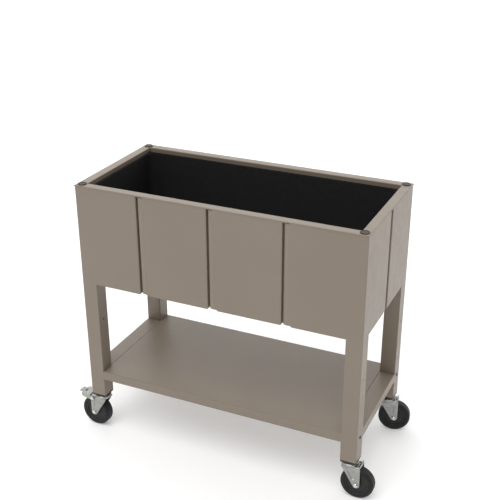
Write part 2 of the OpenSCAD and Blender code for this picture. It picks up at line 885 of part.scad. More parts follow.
// Pressed steel fork: a channel cut to the side view, with a round crown that the balls run on
// and a relief at each rear corner of the bend
module caster_fork(i) {
    side = fork_gap / 2 + fork_t / 2;   // middle of each side's thickness
    foot = wheel_r - eye_r - over;
    relief = 4;
    color(ZINC) at_caster(i) difference() {
        union() {
            intersection() {
                along_x(-race_r, fork_rear + over) polygon(strip([
                    [-side, foot], [-side, crown_z - fork_t / 2],
                    [side, crown_z - fork_t / 2], [side, foot]
                ], fork_t, 1.3 * fork_t));
                along_y(-fork_gap, fork_gap) fork_side();
            }
            translate([0, 0, crown_z - fork_t]) cylinder(h = fork_t, r = race_r - 2.4, $fn = 96);
        }
        translate([0, 0, crown_z - 2 * fork_t])
            cylinder(h = 4 * fork_t, r = kingpin_r + running, $fn = 64);
        translate([trail, 0, wheel_r]) rod_y(-fork_gap, fork_gap, axle_r + slip / 2);
        for (side = [-1, 1])
            translate([fork_rear - relief, side * (fork_out - relief), crown_z - relief])
                linear_extrude(2 * relief)
                    polygon([[0, side * 2 * relief], [2 * relief, side * 2 * relief],
                             [2 * relief, -side * relief], [relief, -side * relief]]);
        if (braked[i])
            translate([pivot.x, 0, pivot.y]) rod_y(-fork_gap, fork_gap, rivet_r + slip / 2);
    }
}

// Axle bolt with its nut, the sleeve that the wheel turns on and a brake pedal's two rivets
module axle_set(i) {
    color(ZINC) at_caster(i) {
        translate([trail, 0, wheel_r]) {
            rod_y(-fork_out - axle_nut_h - over, fork_out + over, axle_r);
            translate([0, fork_out + axle_head_h, 0]) rotate([90, 0, 0])
                cylinder(h = axle_head_h, r = hex_r(axle_af), $fn = 6);
            difference() {
                translate([0, -fork_out, 0]) rotate([90, 0, 0])
                    cylinder(h = axle_nut_h, r = hex_r(axle_af), $fn = 6);
                rod_y(-fork_out - axle_nut_h - over, over - fork_out, axle_r + slip / 2);
            }
            difference() {
                rod_y(-fork_gap / 2 + slip, fork_gap / 2 - slip, sleeve_r);
                rod_y(-fork_gap, fork_gap, axle_r + slip / 2);
            }
        }
        if (braked[i]) for (side = [0, 180])
            translate([pivot.x, 0, pivot.y]) rotate([0, 0, side]) {
                rod_y(fork_gap / 2 - fit, ear_out + slip, rivet_r);
                rod_y(ear_out + slip, ear_out + rivet_head_h, 1.7 * rivet_r);
            }
    }
}

// Plastic wheel centre: a long boss with the bearing bore, a dished web and a rim for the tyre
module wheel_hub(i) {
    boss = fork_gap / 2 - 2 * fit;      // half lengths of the boss, the web and the rim
    web = tread_w / 2 - 5;
    rim = tread_w / 2 - 2;
    boss_r = sleeve_r + 6;
    half = [
        [sleeve_r + running, boss], [boss_r - 1, boss], [boss_r, boss - 1],
        [boss_r + 1, web], [hub_r - 6, web], [hub_r - 4, rim], [hub_r, rim]
    ];
    color(BLACK) at_caster(i) translate([trail, 0, wheel_r]) rotate([90, 0, 0])
        rotate_extrude($fn = 96)
            polygon(concat(half, [for (p = reversed(half)) [p.x, -p.y]]));
}

// Rubber tyre with round shoulders
module wheel_tyre(i) {
    half = tread_w / 2;
    r = tread_w / 4;
    color(RUBBER) at_caster(i) translate([trail, 0, wheel_r]) rotate([90, 0, 0])
        rotate_extrude($fn = 128) polygon(concat(
            [[hub_r + slip, -half + 2], [hub_r + 2, -half]],
            arc([wheel_r - r, -half + r], r, -90, 0, 7),
            arc([wheel_r - r, half - r], r, 0, 90, 7),
            [[hub_r + 2, half], [hub_r + slip, half - 2]]
        ));
}

// Plan of the pedal along its length: wide as far as its sides reach, then a narrower toe
module pedal_plan() {
    r = ear_gap + 2 * ear_t;
    toe_r = pedal_toe / 2;
    outer = [pedal_side_l - r, ear_out - r];
    toe = [pedal_l - toe_r, pedal_toe - toe_r];
    polygon(concat(
        [[-ear_r - over, -ear_out]],
        arc([outer.x, -outer.y], r, -90, 0),
        [[pedal_side_l, -pedal_toe - 2], [pedal_side_l + 2, -pedal_toe]],
        arc([toe.x, -toe.y], toe_r, -90, 0),
        arc(toe, toe_r, 0, 90),
        [[pedal_side_l + 2, pedal_toe], [pedal_side_l, pedal_toe + 2]],
        arc(outer, r, 0, 90),
        [[-ear_r - over, ear_out]]
    ));
}

// Side view of one of the pedal's sides, round at the pivot and swept up at its outer end
module pedal_side() {
    r = pedal_top - pedal_low;
    polygon(concat(
        arc([0, 0], ear_r, asin(pedal_top / ear_r), 250, 10),
        arc([pedal_side_l - r, pedal_top], r, -90, 0, 8)
    ));
}

// Pedal in its own frame: X runs from its pivot along the tread and Z points up. Its tongue
// reaches down to the tyre, and its tread starts behind the sweep of the fork's rear corner.
module pedal_form() {
    pressed = [cos(pedal_down), sin(pedal_down)];
    root = norm([fork_rear, crown_z] - pivot) + fit;
    tongue = meets_circle(pivot + root * pressed, -left_of(pressed),
                          [trail, wheel_r], wheel_r + pedal_play);
    half_t = ear_t / 2;
    intersection() {
        union() {
            along_y(ear_in, ear_out) pedal_side();
            along_y(-ear_out, -ear_in) pedal_side();
            intersection() {
                along_y(-ear_out, ear_out) polygon(strip([
                    [root + half_t, -tongue], [root + half_t, pedal_top - half_t],
                    [pedal_l - half_t, pedal_top - half_t],
                    [pedal_l - half_t, pedal_top - pedal_lip]
                ], ear_t, ear_t));
                union() {
                    translate([0, -ear_out, 0]) cube([pedal_l, 2 * ear_out, pedal_top]);
                    translate([0, -pedal_toe, -wheel_r]) cube([pedal_l, 2 * pedal_toe, wheel_r]);
                }
            }
        }
        translate([0, 0, -pedal_l / 2]) linear_extrude(pedal_l) pedal_plan();
    }
}

// Brake pedal on its two rivets, drawn pressed
module brake_pedal(i) {
    color(ZINC) at_caster(i) translate([pivot.x, 0, pivot.y]) rotate([0, -pedal_down, 0])
        difference() {
            pedal_form();
            rod_y(-2 * ear_out, 2 * ear_out, rivet_r + running);
            translate([pedal_slot.x, 0, 0]) linear_extrude(2 * pedal_top)
                square([pedal_slot.y, pedal_slot.z], center = true);
        }
}

corner_front_left();
corner_front_right();
corner_back_right();
corner_back_left();
panel_front_left();
panel_front_right();
panel_back_right();
panel_back_left();
post_front_left();
post_front_right();
post_back_right();
post_back_left();
rim_front();
rim_back();
rim_left();
rim_right();
rim_brackets();
corner_plugs();
seam_screws();
floor_rails();
floor_pan();
liner_tub();
shelf_deck();
shelf_rail_left();
shelf_rail_right();
shelf_stiffener();
shelf_bolts();
shelf_rail_bolts();
leg_end_caps();
stem_nuts();
swivel_balls();
caster_stem(0);  // caster_stem_front_left
caster_stem(1);  // caster_stem_front_right
caster_stem(2);  // caster_stem_back_right
caster_stem(3);  // caster_stem_back_left
caster_fork(0);  // caster_fork_front_left
caster_fork(1);  // caster_fork_front_right
caster_fork(2);  // caster_fork_back_right
caster_fork(3);  // caster_fork_back_left
axle_set(0);  // axle_set_front_left
axle_set(1);  // axle_set_front_right
axle_set(2);  // axle_set_back_right
axle_set(3);  // axle_set_back_left
wheel_hub(0);  // wheel_hub_front_left
wheel_hub(1);  // wheel_hub_front_right
wheel_hub(2);  // wheel_hub_back_right
wheel_hub(3);  // wheel_hub_back_left
wheel_tyre(0);  // wheel_tyre_front_left
wheel_tyre(1);  // wheel_tyre_front_right
wheel_tyre(2);  // wheel_tyre_back_right
wheel_tyre(3);  // wheel_tyre_back_left
brake_pedal(0);  // brake_pedal_front_left
brake_pedal(3);  // brake_pedal_back_left
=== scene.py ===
import json
import math

import bmesh
import bpy
from mathutils import Matrix, Vector


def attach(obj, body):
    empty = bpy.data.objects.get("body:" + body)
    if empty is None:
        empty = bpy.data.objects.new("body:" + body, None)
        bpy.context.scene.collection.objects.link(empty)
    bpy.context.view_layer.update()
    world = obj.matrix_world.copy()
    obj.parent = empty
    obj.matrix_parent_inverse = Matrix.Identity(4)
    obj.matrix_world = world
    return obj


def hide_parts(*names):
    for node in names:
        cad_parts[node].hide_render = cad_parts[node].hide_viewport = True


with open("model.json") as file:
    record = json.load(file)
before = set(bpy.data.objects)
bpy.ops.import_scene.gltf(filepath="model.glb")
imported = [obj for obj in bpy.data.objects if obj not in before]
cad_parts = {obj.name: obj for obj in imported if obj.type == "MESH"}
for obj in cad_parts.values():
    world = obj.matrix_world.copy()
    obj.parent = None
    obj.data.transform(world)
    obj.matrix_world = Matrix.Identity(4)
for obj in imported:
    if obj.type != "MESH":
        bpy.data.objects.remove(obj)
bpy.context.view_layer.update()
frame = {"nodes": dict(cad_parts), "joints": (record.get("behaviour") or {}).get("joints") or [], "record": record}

CORNERS = ("front_left", "front_right", "back_right", "back_left")
BRAKED = ("front_left", "back_left")

# ---- Materials ----

MICRON = 0.000001                              # bump depths are in metres

# Linear RGB
TAUPE = (0.227, 0.184, 0.141)
TAUPE_LIGHT = (0.241, 0.197, 0.153)
ZINC = (0.305, 0.305, 0.290)
ZINC_LIGHT = (0.39, 0.39, 0.37)
POLISHED = (0.62, 0.62, 0.60)
POLISHED_LIGHT = (0.72, 0.72, 0.70)
GALVANISED = (0.42, 0.44, 0.46)
GALVANISED_LIGHT = (0.60, 0.62, 0.64)
CAP_BROWN = (0.040, 0.031, 0.024)
CAP_BROWN_LIGHT = (0.050, 0.040, 0.031)
LINER_BLACK = (0.011, 0.010, 0.010)
LINER_GREY = (0.017, 0.016, 0.016)
SCREW_BROWN = (0.055, 0.045, 0.037)
SCREW_BROWN_LIGHT = (0.075, 0.062, 0.052)
WHEEL_GREY = (0.017, 0.017, 0.018)
WHEEL_GREY_LIGHT = (0.022, 0.022, 0.023)
RUBBER = (0.009, 0.009, 0.0095)
RUBBER_DUSTY = (0.016, 0.0155, 0.0155)
SPECK_TONE = 0.93                              # of a powder coat's specks, next to its own tone
CAP_GLOSS = 0.30
DULL_GLOSS = 0.32


class Look:
    """A procedural material: one Principled shader, and the nodes that feed it.

    Every pattern is laid out in object coordinates, which for each piece are metres in the
    planter's own frame, so scales are waves per metre and patterns stay put when a piece moves.
    """

    def __init__(self, name, metallic=0.0):
        self.material = bpy.data.materials.new(name)
        self.material.use_nodes = True
        self.nodes = self.material.node_tree.nodes
        self.link = self.material.node_tree.links.new
        self.shader = self.nodes["Principled BSDF"]
        self.shader.inputs["Metallic"].default_value = metallic
        self.place = self.nodes.new("ShaderNodeTexCoord").outputs["Object"]

    def stretched(self, stretch):
        mapping = self.nodes.new("ShaderNodeMapping")
        mapping.inputs["Scale"].default_value = stretch
        self.link(self.place, mapping.inputs["Vector"])
        return mapping.outputs["Vector"]

    def noise(self, scale, detail=2.0, roughness=0.5, stretch=None):
        node = self.nodes.new("ShaderNodeTexNoise")
        node.inputs["Scale"].default_value = scale
        node.inputs["Detail"].default_value = detail
        node.inputs["Roughness"].default_value = roughness
        self.link(self.stretched(stretch) if stretch else self.place, node.inputs["Vector"])
        return node.outputs["Fac"]

    def cells(self, scale):
        node = self.nodes.new("ShaderNodeTexVoronoi")
        node.inputs["Scale"].default_value = scale
        self.link(self.place, node.inputs["Vector"])
        shade = self.nodes.new("ShaderNodeSeparateColor")
        self.link(node.outputs["Color"], shade.inputs["Color"])
        return shade.outputs["Red"]

    def span(self, value, low, high, start=0.3, end=0.7):
        """value's middle part, from start to end, spread from low to high."""
        node = self.nodes.new("ShaderNodeMapRange")
        for key, number in (("From Min", start), ("From Max", end),
                            ("To Min", low), ("To Max", high)):
            node.inputs[key].default_value = number
        self.link(value, node.inputs["Value"])
        return node.outputs["Result"]

    def blend(self, amount, first, second):
        """From colour first to colour second; each is an RGB tuple or another node's output."""
        node = self.nodes.new("ShaderNodeMix")
        node.data_type = "RGBA"
        self.link(amount, node.inputs["Factor"])
        for key, colour in (("A", first), ("B", second)):
            socket = next(s for s in node.inputs if s.name == key and s.type == "RGBA")
            if isinstance(colour, tuple):
                socket.default_value = (*colour, 1.0)
            else:
                self.link(colour, socket)
        return next(s for s in node.outputs if s.type == "RGBA")

    def colour(self, value):
        self.link(value, self.shader.inputs["Base Color"])

    def roughness(self, value):
        self.link(value, self.shader.inputs["Roughness"])

    def relief(self, *layers):
        """Bump from (height, depth in metres) layers, laid over each other."""
        normal = None
        for height, depth in layers:
            node = self.nodes.new("ShaderNodeBump")
            node.inputs["Strength"].default_value = 1.0
            node.inputs["Distance"].default_value = depth
            self.link(height, node.inputs["Height"])
            if normal is not None:
                self.link(normal, node.inputs["Normal"])
            normal = node.outputs["Normal"]
        self.link(normal, self.shader.inputs["Normal"])


def coated_steel():
    """Satin powder coat: a fine orange peel, and a tone that drifts slightly over each sheet."""
    look = Look("powder_coat")
    drift = look.span(look.noise(scale=4.0, detail=3.0), 0.0, 1.0)
    speck = look.span(look.noise(scale=2600.0, detail=1.0), 0.0, 1.0, start=0.2, end=0.8)
    tone = look.blend(drift, TAUPE, TAUPE_LIGHT)
    deep = tuple(SPECK_TONE * c for c in TAUPE)
    look.colour(look.blend(look.span(speck, 0.0, 0.35, start=0.0, end=1.0), tone, deep))
    look.roughness(look.span(look.noise(scale=35.0, detail=3.0), 0.37, 0.44))
    peel = look.noise(scale=420.0)
    grit = look.noise(scale=1500.0, detail=1.0)
    look.relief((peel, 12 * MICRON), (grit, 4 * MICRON))
    return look.material


def moulded_plastic(name, dark, light, smooth, rough, grain=1700.0, gloss=0.5):
    """Moulded plastic with a fine spark-eroded grain."""
    look = Look(name)
    look.shader.inputs["Specular IOR Level"].default_value = gloss
    look.colour(look.blend(look.span(look.noise(scale=90.0, detail=3.0), 0.0, 1.0), dark, light))
    look.roughness(look.span(look.noise(scale=160.0), smooth, rough))
    look.relief((look.noise(scale=grain), 30 * MICRON))
    return look.material


def galvanised_steel():
    """Hot-dip galvanised sheet: crystals of differing brightness and gloss."""
    look = Look("galvanised", metallic=1.0)
    crystal = look.cells(scale=110.0)
    clouds = look.noise(scale=30.0, detail=4.0)
    tone = look.blend(crystal, GALVANISED, GALVANISED_LIGHT)
    look.colour(look.blend(look.span(clouds, 0.0, 0.5), tone, GALVANISED))
    look.roughness(look.span(crystal, 0.34, 0.52, start=0.0, end=1.0))
    look.relief((clouds, 40 * MICRON))
    return look.material


def zinc_steel(name, dark, light, smooth, rough):
    """Bright zinc plate on pressed steel: drawn lines from the press and soft clouds."""
    look = Look(name, metallic=1.0)
    clouds = look.noise(scale=120.0, detail=3.0)
    drawn = look.noise(scale=700.0, stretch=(1.0, 1.0, 0.12))
    tone = look.blend(look.span(clouds, 0.0, 1.0), dark, light)
    look.colour(look.blend(look.span(drawn, 0.0, 0.3), tone, dark))
    look.roughness(look.span(clouds, smooth, rough))
    look.relief((drawn, 10 * MICRON), (look.noise(scale=260.0), 30 * MICRON))
    return look.material


def dark_steel():
    """Dark coated screw heads, and the dark plate that paints shade into each pedal's slot."""
    look = Look("coated_screw", metallic=0.6)
    look.colour(look.blend(look.noise(scale=500.0), SCREW_BROWN, SCREW_BROWN_LIGHT))
    look.roughness(look.span(look.noise(scale=700.0), 0.38, 0.55))
    look.relief((look.noise(scale=1800.0, detail=1.0), 10 * MICRON))
    return look.material


def tyre_rubber():
    """Soft black rubber with a little dust on it."""
    look = Look("tyre_rubber")
    clouds = look.noise(scale=70.0, detail=5.0, roughness=0.65)
    dust = look.span(clouds, 0.0, 1.0, start=0.45, end=0.75)
    look.colour(look.blend(dust, RUBBER, RUBBER_DUSTY))
    look.roughness(look.span(look.noise(scale=220.0, detail=3.0), 0.50, 0.66))
    look.relief((look.noise(scale=900.0, detail=3.0), 50 * MICRON))
    look.shader.inputs["Specular IOR Level"].default_value = DULL_GLOSS
    return look.material


LOOKS = {
    "coated_steel": coated_steel(),
    "dark_plastic": moulded_plastic("brown_plastic", CAP_BROWN, CAP_BROWN_LIGHT, 0.42, 0.54,
                                    gloss=CAP_GLOSS),
    "black_plastic": moulded_plastic("liner_plastic", LINER_BLACK, LINER_GREY, 0.50, 0.62,
                                     grain=900.0),
    "galvanised_steel": galvanised_steel(),
    "zinc_steel": zinc_steel("zinc_plate", ZINC, ZINC_LIGHT, 0.27, 0.40),
    "dark_steel": dark_steel(),
    "wheel_plastic": moulded_plastic("wheel_plastic", WHEEL_GREY, WHEEL_GREY_LIGHT, 0.46, 0.58,
                                     gloss=DULL_GLOSS),
    "tyre_rubber": tyre_rubber(),
}
BRIGHT = zinc_steel("bright_zinc", POLISHED, POLISHED_LIGHT, 0.12, 0.20)


def dress_cad_nodes():
    for row in frame["record"]["subparts"]:
        materials = frame["nodes"][row["node"]].data.materials
        materials.clear()
        materials.append(LOOKS[row["material_slot"]])


dress_cad_nodes()

# ---- Details that the solids leave out ----

# Lengths are in metres. A caster's are in its own frame, which caster_place gives.

WALL_X = 0.450                                 # the walls' outer faces
LEG_Y = 0.185                                  # from the middle to a shelf bolt
SHELF_BOLT_Z = 0.2075
SOCKET_HALF = 0.002                            # half a shelf bolt's socket, across its flats
SOCKET_ENDS = (0.0008, 0.0030)                 # its bottom and its mouth, out from the wall

FORK_OUT = 0.0205                              # outer faces of a fork's sides
CROWN_Z = 0.112                                # top of a fork's crown
TRAIL = 0.026                                  # the axle behind the swivel axis
AXLE_Z = 0.051

# Border and panel on a fork's sides. Each step is (how far inwards, how far out from the side).
BORDER_RISE = 0.0012
BORDER_STEPS = ((0.0, -0.0005), (0.0, 0.4 * BORDER_RISE), (0.0008, BORDER_RISE))
EYE_R = 0.0102                                 # the border's radius round the axle
EYE_FROM = -148.9                              # degrees round the axle, where the slope meets it
EYE_STEPS = 12
SLOPE_FROM = (-0.0133, 0.0964)                 # the border's sloping front edge
SLOPE_ALONG = (0.5167, -0.8562)
PANEL_DEPTH = 0.0008
PANEL_STEPS = ((-0.0001, BORDER_RISE + 0.0002), (0.0008, -PANEL_DEPTH))
PANEL_LOW = 0.0690                             # its lower edge
PANEL_REAR = 0.0245                            # its upright edge
PANEL_MARGIN = 0.0085                          # from the border's sloping edge to it
PANEL_R = 0.0030
BRAKED_TOPS = (0.0940, 0.0895)                 # of the border and of the panel, under a pedal
FREE_TOPS = (0.1065, 0.1010)                   # and without a pedal

# Slot and rear lip of a crown without a pedal
SLOT_X = (0.0290, 0.0322)
SLOT_HALF = 0.0098
SLOT_R = 0.0015
SLOT_ENDS = (-0.005, 0.001)                    # from the crown's top
LIP_X = (0.0346, 0.0369)
LIP_R = 0.0005
LIP_LEVELS = ((0.1103, 0.0168, 0.0), (0.1172, 0.0168, 0.0), (0.1188, 0.0162, 0.0002),
              (0.1198, 0.0150, 0.0006))        # height, half width, and taper of each face

# Domes on an axle's ends: (radius, height from the fork's side), from foot to top
NUT_DOME = ((0.00772, 0.0030), (0.00700, 0.0040), (0.00630, 0.0052), (0.00500, 0.0064),
            (0.00320, 0.0072), (0.00150, 0.00745), (0.0, 0.00750))
HEAD_DOME = ((0.00772, 0.0022), (0.00710, 0.0032), (0.00630, 0.0041), (0.00500, 0.0049),
             (0.00320, 0.0053), (0.00150, 0.00545), (0.0, 0.00550))
NUT_CLEAR = 0.0085                             # past the nut's end
HEAD_CLEAR = 0.0065                            # past the bolt's head
DOME_OUT = 0.0100                              # past the corners of both

# Plate behind the slot of a pedal, dark to paint shade into the slot; from its pivot
PIVOT = (0.030, 0.104)                         # behind the swivel axis and above the floor
PEDAL_TILT = 2.0                               # degrees, pressed
PLATE_X = (0.0290, 0.0440)
PLATE_HALF = 0.0110
PLATE_R = 0.0020
PLATE_Z = (0.0030, 0.0042)

# Radius of the rounded edges of what stands for a CAD node
FORK_EDGE = 0.0005
AXLE_EDGE = 0.0002
STEM_EDGE = 0.0004
PEDAL_EDGE = 0.0004
BOLT_EDGE = 0.0006
CAP_EDGE = 0.0006

# Limits for clean meshes: lengths between points, and degrees between faces
SAME_POINT = 0.000005
SLIVER = 0.000004
SAME_PLANE = 0.4
ROUNDED_OVER = 32.0
SOFT_UNDER = 40.0
FINER_SOFT_UNDER = 50.0


def joint(name):
    return next(row for row in frame["joints"] if row["name"] == name)


def caster_place(corner):
    """A caster's own frame: X points where it trails, Y along its axle, and Z up from the floor."""
    x, y, _ = joint("swivel_turn_" + corner)["pos_m"]
    along = Vector(joint("wheel_spin_" + corner)["axis"])
    up = Vector((0.0, 0.0, 1.0))
    turn = Matrix((along.cross(up), along, up)).transposed().to_4x4()
    return Matrix.Translation((x, y, 0.0)) @ turn


def soften(mesh, degrees):
    """Shades mesh smooth across edges whose faces turn by less than degrees."""
    mesh.shade_smooth()
    mesh.set_sharp_from_angle(angle=math.radians(degrees))


def shown(name, form):
    """A new object with the bmesh as its mesh."""
    mesh = bpy.data.meshes.new(name)
    bmesh.ops.recalc_face_normals(form, faces=form.faces)
    form.to_mesh(mesh)
    form.free()
    soften(mesh, SOFT_UNDER)
    piece = bpy.data.objects.new(name, mesh)
    bpy.context.scene.collection.objects.link(piece)
    return piece


def lofted(name, rings, place):
    """A solid through rings of as many points each, from first to last, closed at both ends."""
    form = bmesh.new()
    loops = [[form.verts.new(place @ Vector(point)) for point in ring] for ring in rings]
    for low, high in zip(loops, loops[1:]):
        for i in range(len(low)):
            j = (i + 1) % len(low)
            form.faces.new((low[i], low[j], high[j], high[i]))
    form.faces.new(loops[0])
    form.faces.new(loops[-1])
    return shown(name, form)


def turned(name, profile, place, steps=48):
    """A solid: profile's (radius, y) points, of which the first and last are on place's Y axis,
    turned about that axis.
    """
    form = bmesh.new()
    start, end = (form.verts.new(place @ Vector((0.0, profile[i][1], 0.0))) for i in (0, -1))
    around = [math.tau * k / steps for k in range(steps)]
    loops = [[form.verts.new(place @ Vector((r * math.cos(a), y, r * math.sin(a))))
              for a in around] for r, y in profile[1:-1]]
    for k in range(steps):
        j = (k + 1) % steps
        form.faces.new((start, loops[0][k], loops[0][j]))
        form.faces.new((end, loops[-1][j], loops[-1][k]))
        for inner, outer in zip(loops, loops[1:]):
            form.faces.new((inner[k], outer[k], outer[j], inner[j]))
    return shown(name, form)


def rectangle(ends, half):
    """An outline between the two ends in X, and half to each side in Y, anticlockwise."""
    low, high = ends
    return [(low, -half), (high, -half), (high, half), (low, half)]


def level(outline, z):
    """outline's points, lying flat at height z."""
    return [(x, y, z) for x, y in outline]


def offset(outline, inset):
    """outline, anticlockwise, with each side moved inwards by inset."""
    moved = []
    count = len(outline)
    for i in range(count):
        before, here, after = (Vector(outline[(i + k) % count]) for k in (-1, 0, 1))
        first = (here - before).normalized()
        second = (after - here).normalized()
        normal = Vector((-first.y, first.x)) + Vector((-second.y, second.x))
        moved.append(tuple(here + normal * (inset / (1.0 + first.dot(second)))))
    return moved


def rounded(outline, r, steps=4):
    """outline, anticlockwise and convex, with its corners rounded to radius r."""
    points = []
    count = len(outline)
    for i in range(count):
        before, here, after = (Vector(outline[(i + k) % count]) for k in (-1, 0, 1))
        first = (here - before).normalized()
        second = (after - here).normalized()
        turn = first.angle(second)
        reach = r * math.tan(turn / 2)
        centre = here - first * reach + Vector((-first.y, first.x)) * r
        start = here - first * reach - centre
        for k in range(steps + 1):
            a = turn * k / steps
            points.append(tuple(centre + Vector((start.x * math.cos(a) - start.y * math.sin(a),
                                                 start.x * math.sin(a) + start.y * math.cos(a)))))
    return points


def finer(node, body, edge, cutters=(), added=(), last=(), material=None):
    """Stands for a CAD node: its own shape with some solids added and then some cut out, with
    its edges rounded to edge, and with the last solids cut out after that.
    """
    source = frame["nodes"][node]
    form = bmesh.new()
    form.from_mesh(source.data)
    bmesh.ops.remove_doubles(form, verts=form.verts, dist=SAME_POINT)
    bmesh.ops.dissolve_limit(form, angle_limit=math.radians(SAME_PLANE), verts=form.verts,
                             edges=form.edges)
    piece = shown(node + "_finer", form)
    piece.data.materials.append(material or source.data.materials[0])

    def combine(operation, tools):
        for tool in tools:
            step = piece.modifiers.new("step", "BOOLEAN")
            step.operation = operation
            step.solver = "EXACT"
            step.object = tool

    combine("UNION", added)
    combine("DIFFERENCE", cutters)
    rounding = piece.modifiers.new("rounding", "BEVEL")
    rounding.width = edge
    rounding.segments = 2
    rounding.limit_method = "ANGLE"
    rounding.angle_limit = math.radians(ROUNDED_OVER)
    rounding.miter_outer = "MITER_ARC"
    combine("DIFFERENCE", last)
    view = bpy.context.evaluated_depsgraph_get()
    final = bpy.data.meshes.new_from_object(piece.evaluated_get(view))
    piece.modifiers.clear()
    piece.data = final
    for tool in (*added, *cutters, *last):
        bpy.data.objects.remove(tool)
    form = bmesh.new()
    form.from_mesh(final)
    bmesh.ops.remove_doubles(form, verts=form.verts, dist=SLIVER)
    bmesh.ops.holes_fill(form, edges=[e for e in form.edges if e.is_boundary])
    form.to_mesh(final)
    form.free()
    soften(final, FINER_SOFT_UNDER)
    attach(piece, body)
    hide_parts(node)


def slope_x(z, inset=0.0):
    """Where the sloping front edge of a fork's border, moved inwards by inset, is at height z."""
    x = SLOPE_FROM[0] - inset * SLOPE_ALONG[1]
    top = SLOPE_FROM[1] + inset * SLOPE_ALONG[0]
    return x + (z - top) * SLOPE_ALONG[0] / SLOPE_ALONG[1]


def on_both_sides(name, outline, steps, place):
    """A solid on each side of a fork: outline, in X and Z, moved inwards and out by each step."""
    solids = []
    for side in (-1, 1):
        rings = [[(x, side * (FORK_OUT + lift), z) for x, z in offset(outline, inset)]
                 for inset, lift in steps]
        solids.append(lofted(name, rings, place))
    return solids


def side_borders(place, top):
    """The raised border on each side of a fork, which runs round the axle, up to top."""
    angles = (math.radians(EYE_FROM * (1.0 - k / EYE_STEPS)) for k in range(EYE_STEPS + 1))
    eye = [(TRAIL + EYE_R * math.cos(a), AXLE_Z + EYE_R * math.sin(a)) for a in angles]
    outline = [(slope_x(top), top), *eye, (TRAIL + EYE_R, top)]
    return on_both_sides("border", outline, BORDER_STEPS, place)


def side_panels(place, top):
    """Cutters for the three-cornered panel pressed into each side of a fork, up to top."""
    outline = rounded([(slope_x(PANEL_LOW, PANEL_MARGIN), PANEL_LOW), (PANEL_REAR, PANEL_LOW),
                       (PANEL_REAR, top), (slope_x(top, PANEL_MARGIN), top)], PANEL_R)
    return on_both_sides("panel", outline, PANEL_STEPS, place)


def crown_slot(place):
    """Cutter for the slot across the crown, behind the ball race's cover."""
    outline = rounded(rectangle(SLOT_X, SLOT_HALF), SLOT_R)
    return lofted("slot", [level(outline, CROWN_Z + lift) for lift in SLOT_ENDS], place)


def rear_lip(corner, place):
    """The crown's rear edge, turned up, on the forks that carry no pedal."""
    rings = []
    for z, half, taper in LIP_LEVELS:
        outline = rectangle((LIP_X[0] + taper, LIP_X[1] - taper), half)
        rings.append(level(rounded(outline, LIP_R - 0.5 * taper, steps=2), z))
    piece = lofted("fork_lip_" + corner, rings, place)
    piece.data.materials.append(LOOKS["zinc_steel"])
    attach(piece, "swivel_" + corner)


def dome(place, side, points, clear):
    """Cutter that leaves a dome on the axle's nut, side -1, or on its bolt's head, side 1."""
    outside = ((DOME_OUT, points[0][1]), (DOME_OUT, clear), (0.0, clear))
    profile = [(r, side * (FORK_OUT + y)) for r, y in (*reversed(points), *outside)]
    at_axle = place @ Matrix.Translation((TRAIL, 0.0, AXLE_Z))
    return turned("dome", profile, at_axle)


def slot_shade_plate(corner, place):
    """A dark plate behind the slot in the pedal's tread, which paints shade into the slot."""
    pressed = Matrix.Rotation(math.radians(PEDAL_TILT), 4, "Y")
    at_pivot = place @ Matrix.Translation((PIVOT[0], 0.0, PIVOT[1])) @ pressed
    outline = rounded(rectangle(PLATE_X, PLATE_HALF), PLATE_R)
    piece = lofted("slot_shade_plate_" + corner, [level(outline, z) for z in PLATE_Z], at_pivot)
    # the dark steel here is painted shade in the pedal's slot
    piece.data.materials.append(LOOKS["dark_steel"])
    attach(piece, "brake_" + corner)


def dress_caster(corner):
    place = caster_place(corner)
    swivel = "swivel_" + corner
    border_top, panel_top = BRAKED_TOPS if corner in BRAKED else FREE_TOPS
    borders = side_borders(place, border_top)
    cutters = side_panels(place, panel_top)
    if corner in BRAKED:
        slot_shade_plate(corner, place)
        finer("brake_pedal_" + corner, "brake_" + corner, PEDAL_EDGE)
    else:
        cutters.append(crown_slot(place))
        rear_lip(corner, place)
    finer("caster_fork_" + corner, swivel, FORK_EDGE, cutters, borders)
    domes = [dome(place, -1, NUT_DOME, NUT_CLEAR), dome(place, 1, HEAD_DOME, HEAD_CLEAR)]
    finer("axle_set_" + corner, swivel, AXLE_EDGE, last=domes, material=BRIGHT)
    finer("caster_stem_" + corner, "frame", STEM_EDGE)


def dress_shelf_bolts():
    """Button heads with a hexagon socket."""
    corner_r = SOCKET_HALF / math.cos(math.radians(30.0))
    hexagon = [(corner_r * math.cos(math.tau * k / 6), corner_r * math.sin(math.tau * k / 6))
               for k in range(6)]
    sockets = []
    for side in (-1, 1):
        for end in (-1, 1):
            rings = [[(side * (WALL_X + lift), end * LEG_Y + y, SHELF_BOLT_Z + z)
                      for y, z in hexagon] for lift in SOCKET_ENDS]
            sockets.append(lofted("socket", rings, Matrix.Identity(4)))
    finer("shelf_bolts", "frame", BOLT_EDGE, sockets)


for corner in CORNERS:
    dress_caster(corner)
dress_shelf_bolts()
finer("leg_end_caps", "frame", CAP_EDGE)

# ---- Stage, light and camera ----

FLOOR_HALF = 30.0
FLOOR_WHITE = (0.86, 0.86, 0.86)
FLOOR_SHADE = (0.84, 0.84, 0.84)
FLOOR_GLOW = 0.211
BACKDROP_R = 29.0
BACKDROP_ENDS = (-2.0, 25.0)
BACKDROP_STEPS = 96
WHITE = (1.0, 1.0, 1.0, 1.0)

ROOM_LIGHT = 0.771                             # average from all round
ROOM_SLOPE = (-0.35, 0.68, 0.0)                # more from the left and the back
KEY_AZIMUTH = 0.0
KEY_ELEVATION = 60.0
KEY_STRENGTH = 1.67
KEY_WIDTH = 50.0

